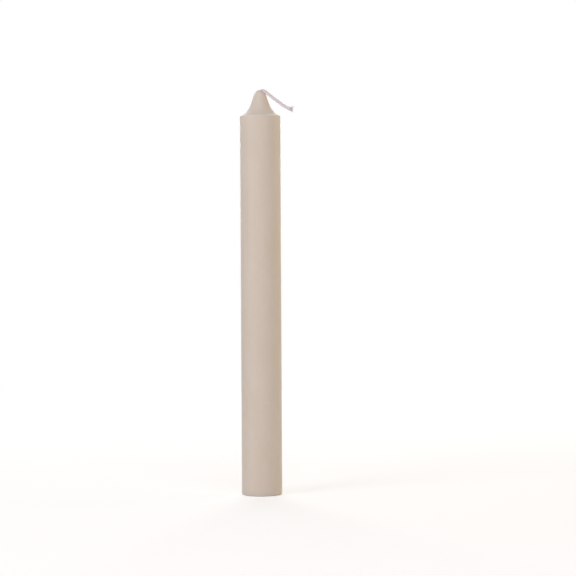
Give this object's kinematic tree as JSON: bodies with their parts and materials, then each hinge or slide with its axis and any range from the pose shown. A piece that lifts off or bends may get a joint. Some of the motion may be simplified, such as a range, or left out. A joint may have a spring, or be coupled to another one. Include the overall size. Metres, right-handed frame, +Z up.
{
  "type": "taper candle",
  "caption": "Straight round candle of ivory wax with a bell-shaped nose and a flat plaited cotton wick folded over at the tip.",
  "frame": {"origin": "middle of the flat base, on the candle's axis", "axes": "+Z up the candle's axis to the nose, +X the side to which the wick is folded, +Y across the wick's width"},
  "size_m": [0.0274, 0.02, 0.2006],
  "materials": {
    "wax": "satin ivory wax, slightly translucent",
    "cotton": "undyed plaited cotton, stiff with wax"
  },
  "bodies": {
    "root": {"wax_body": "wax", "wick": "cotton"}
  },
  "joints": []
}
